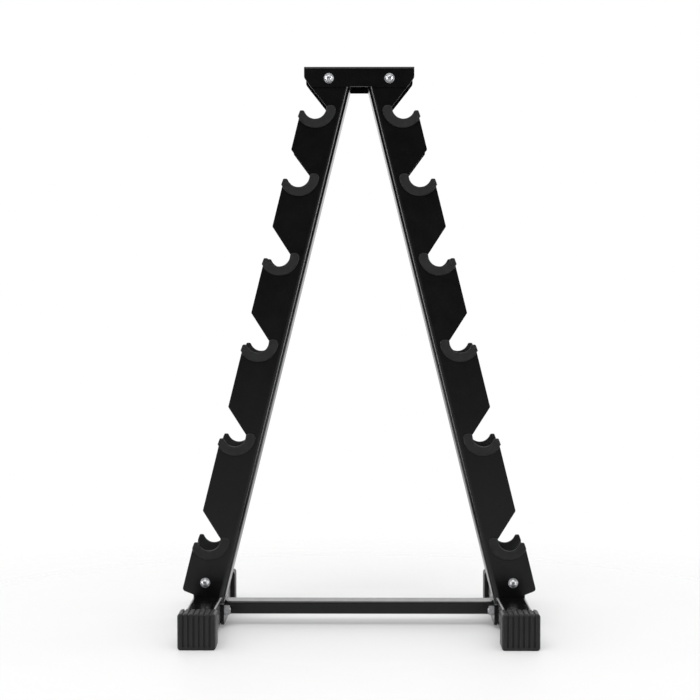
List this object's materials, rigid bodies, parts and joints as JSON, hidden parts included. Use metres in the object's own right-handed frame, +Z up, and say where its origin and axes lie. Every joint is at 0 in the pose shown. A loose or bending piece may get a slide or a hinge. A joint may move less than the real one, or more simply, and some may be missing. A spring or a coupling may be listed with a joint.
{
  "type": "dumbbell rack",
  "caption": "Upright A-frame dumbbell rack: two leaning folded-steel legs with rubber-lined hooks, joined by a top bracket and a crossbar, on two square base tubes with ribbed end caps.",
  "frame": {"origin": "centre of the footprint at floor level", "axes": "+Z up, +X to the right seen from the front, the front faces -Y; the base tubes run along Y and the crossbar along X"},
  "size_m": [0.5544, 0.439, 0.8812],
  "materials": {
    "frame_paint": "black semi-gloss powder coat",
    "saddle_rubber": "dark grey, matt, fine moulded texture",
    "cap_plastic": "black moulded plastic with ribs",
    "zinc": "bright zinc plating"
  },
  "bodies": {
    "root": {"left_leg_channel": "frame_paint", "right_leg_channel": "frame_paint", "top_bracket": "frame_paint", "left_base_tube": "frame_paint", "right_base_tube": "frame_paint", "left_foot_bracket": "frame_paint", "right_foot_bracket": "frame_paint", "crossbar": "frame_paint", "left_crossbar_flange": "frame_paint", "right_crossbar_flange": "frame_paint", "crossbar_welds": "frame_paint", "foot_welds": "frame_paint", "left_front_end_cap": "cap_plastic", "right_front_end_cap": "cap_plastic", "left_back_end_cap": "cap_plastic", "right_back_end_cap": "cap_plastic", "saddle_left_front_1": "saddle_rubber", "saddle_left_front_2": "saddle_rubber", "saddle_left_front_3": "saddle_rubber", "saddle_left_front_4": "saddle_rubber", "saddle_left_front_5": "saddle_rubber", "saddle_left_front_6": "saddle_rubber", "saddle_left_back_1": "saddle_rubber", "saddle_left_back_2": "saddle_rubber", "saddle_left_back_3": "saddle_rubber", "saddle_left_back_4": "saddle_rubber", "saddle_left_back_5": "saddle_rubber", "saddle_left_back_6": "saddle_rubber", "saddle_right_front_1": "saddle_rubber", "saddle_right_front_2": "saddle_rubber", "saddle_right_front_3": "saddle_rubber", "saddle_right_front_4": "saddle_rubber", "saddle_right_front_5": "saddle_rubber", "saddle_right_front_6": "saddle_rubber", "saddle_right_back_1": "saddle_rubber", "saddle_right_back_2": "saddle_rubber", "saddle_right_back_3": "saddle_rubber", "saddle_right_back_4": "saddle_rubber", "saddle_right_back_5": "saddle_rubber", "saddle_right_back_6": "saddle_rubber", "top_bolts": "zinc", "top_washers": "zinc", "top_nuts": "zinc", "foot_bolts": "zinc", "foot_washers": "zinc", "foot_nuts": "zinc", "crossbar_bolts": "zinc", "crossbar_washers": "zinc", "crossbar_nuts": "zinc"}
  },
  "joints": []
}
